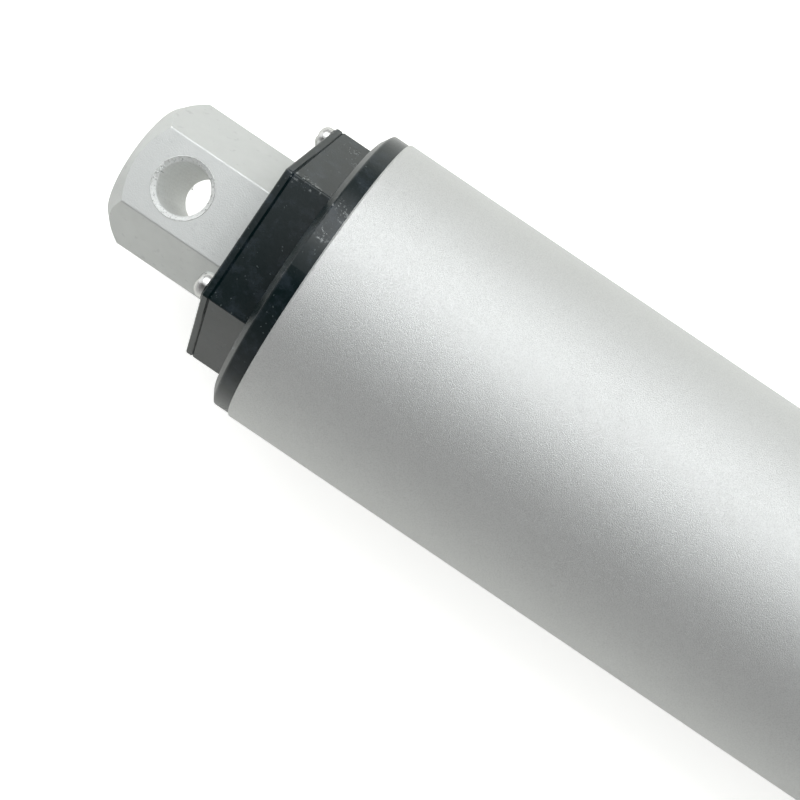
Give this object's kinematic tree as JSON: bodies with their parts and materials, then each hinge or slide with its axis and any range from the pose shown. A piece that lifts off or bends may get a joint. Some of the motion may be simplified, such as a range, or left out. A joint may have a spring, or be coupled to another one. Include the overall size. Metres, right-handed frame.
{
  "type": "electric linear actuator",
  "caption": "Inline electric linear actuator: a round alloy tube with black end caps, a hexagonal push rod with a pin hole at the front and a fixed hexagonal eye at the rear.",
  "frame": {"origin": "centre of the rear eye's pin hole", "axes": "+X along the actuator towards the push rod, +Z along the pin holes"},
  "size_m": [0.2719, 0.05, 0.05],
  "materials": {
    "anodised_tube": "satin, blasted and clear anodised",
    "bar_alloy": "satin, anodised",
    "black_moulding": "satin moulded",
    "bush_plastic": "smooth moulded",
    "board": "varnished",
    "sensor_case": "moulded",
    "seal_rubber": "matt",
    "screw_steel": "bright zinc",
    "gear_steel": "machined, oiled",
    "bearing_steel": "ground and polished",
    "case_steel": "drawn, zinc plated",
    "core_steel": "stacked sheets, varnished",
    "magnet": "ground ferrite",
    "copper": "enamelled wire",
    "commutator_copper": "turned",
    "bronze": "sintered or turned",
    "carbon": "matt, pressed",
    "ring_alloy": "turned",
    "cage_plastic": "moulded"
  },
  "bodies": {
    "housing": {"outer_tube": "anodised_tube", "front_cap": "black_moulding", "front_cover_plate": "black_moulding", "front_screws": "screw_steel", "front_o_ring": "seal_rubber", "front_end_ring": "ring_alloy", "guide_bush": "bush_plastic", "wiper_seal": "seal_rubber", "rear_cap": "black_moulding", "rear_cover_plate": "black_moulding", "rear_screws": "screw_steel", "rear_o_ring": "seal_rubber", "rear_end_ring": "ring_alloy", "rear_eye": "bar_alloy", "cable_grommet": "seal_rubber", "terminal_board": "board", "sensor_strip": "board", "limit_sensors": "sensor_case", "motor_terminals": "bronze", "end_bell": "black_moulding", "brushes": "carbon", "brush_springs": "bronze", "motor_can": "case_steel", "motor_magnets": "magnet", "motor_bushings": "bronze", "motor_cushion": "seal_rubber", "input_plate": "case_steel", "motor_screws": "screw_steel", "gear_case": "gear_steel", "bearing_housing": "ring_alloy", "case_screws": "screw_steel", "snap_rings": "gear_steel", "bearing_circlip": "gear_steel", "outer_race": "bearing_steel"},
    "rotor": {"rotor_shaft": "gear_steel", "rotor_core": "core_steel", "rotor_windings": "copper", "commutator": "commutator_copper", "first_sun_gear": "gear_steel"},
    "first_carrier": {"first_carrier": "gear_steel", "first_planet_pins": "gear_steel", "second_sun_gear": "gear_steel"},
    "screw": {"output_carrier": "gear_steel", "second_planet_pins": "gear_steel", "lead_screw": "gear_steel", "lock_nut": "screw_steel", "inner_race": "bearing_steel"},
    "ball_cage": {"ball_cage": "cage_plastic", "bearing_balls": "bearing_steel"},
    "rod": {"push_rod": "bar_alloy", "drive_nut": "bronze", "guide_piston": "bush_plastic", "piston_magnet": "magnet"},
    "first_planet_1": {"first_planet_gear_1": "gear_steel"},
    "first_planet_2": {"first_planet_gear_2": "gear_steel"},
    "first_planet_3": {"first_planet_gear_3": "gear_steel"},
    "second_planet_1": {"second_planet_gear_1": "gear_steel"},
    "second_planet_2": {"second_planet_gear_2": "gear_steel"},
    "second_planet_3": {"second_planet_gear_3": "gear_steel"}
  },
  "joints": [
    {"name": "motor_spin", "type": "hinge", "parent": "housing", "child": "rotor", "pos_m": [0.1, 0, 0], "axis": [-1, 0, 0], "range_deg": [0, 72900]},
    {"name": "first_carrier_spin", "type": "hinge", "parent": "housing", "child": "first_carrier", "pos_m": [0.1, 0, 0], "axis": [-1, 0, 0], "range_deg": [0, 16200]},
    {"name": "screw_spin", "type": "hinge", "parent": "housing", "child": "screw", "pos_m": [0.1, 0, 0], "axis": [-1, 0, 0], "range_deg": [0, 3600]},
    {"name": "first_planet_1_spin", "type": "hinge", "parent": "first_carrier", "child": "first_planet_1", "pos_m": [0.1, 0.01013, 0], "axis": [-1, 0, 0], "range_deg": [-45360, 0]},
    {"name": "first_planet_2_spin", "type": "hinge", "parent": "first_carrier", "child": "first_planet_2", "pos_m": [0.1, -0.00506, 0.00877], "axis": [-1, 0, 0], "range_deg": [-45360, 0]},
    {"name": "first_planet_3_spin", "type": "hinge", "parent": "first_carrier", "child": "first_planet_3", "pos_m": [0.1, -0.00506, -0.00877], "axis": [-1, 0, 0], "range_deg": [-45360, 0]},
    {"name": "second_planet_1_spin", "type": "hinge", "parent": "screw", "child": "second_planet_1", "pos_m": [0.1, 0.01013, 0], "axis": [-1, 0, 0], "range_deg": [-10080, 0]},
    {"name": "second_planet_2_spin", "type": "hinge", "parent": "screw", "child": "second_planet_2", "pos_m": [0.1, -0.00506, 0.00877], "axis": [-1, 0, 0], "range_deg": [-10080, 0]},
    {"name": "second_planet_3_spin", "type": "hinge", "parent": "screw", "child": "second_planet_3", "pos_m": [0.1, -0.00506, -0.00877], "axis": [-1, 0, 0], "range_deg": [-10080, 0]},
    {"name": "ball_cage_spin", "type": "hinge", "parent": "housing", "child": "ball_cage", "pos_m": [0.1, 0, 0], "axis": [-1, 0, 0], "range_deg": [0, 1324]},
    {"name": "rod_slide", "type": "slide", "parent": "housing", "child": "rod", "axis": [1, 0, 0], "range_m": [0, 0.05]}
  ],
  "couplings": [
    {"joint": "first_carrier_spin", "follows": "motor_spin", "ratio": 0.22222},
    {"joint": "screw_spin", "follows": "motor_spin", "ratio": 0.049383},
    {"joint": "first_planet_1_spin", "follows": "motor_spin", "ratio": -0.62222},
    {"joint": "first_planet_2_spin", "follows": "motor_spin", "ratio": -0.62222},
    {"joint": "first_planet_3_spin", "follows": "motor_spin", "ratio": -0.62222},
    {"joint": "second_planet_1_spin", "follows": "motor_spin", "ratio": -0.13827},
    {"joint": "second_planet_2_spin", "follows": "motor_spin", "ratio": -0.13827},
    {"joint": "second_planet_3_spin", "follows": "motor_spin", "ratio": -0.13827},
    {"joint": "ball_cage_spin", "follows": "motor_spin", "ratio": 0.018162},
    {"joint": "rod_slide", "follows": "motor_spin", "m_per_rad": 0.000039298}
  ]
}
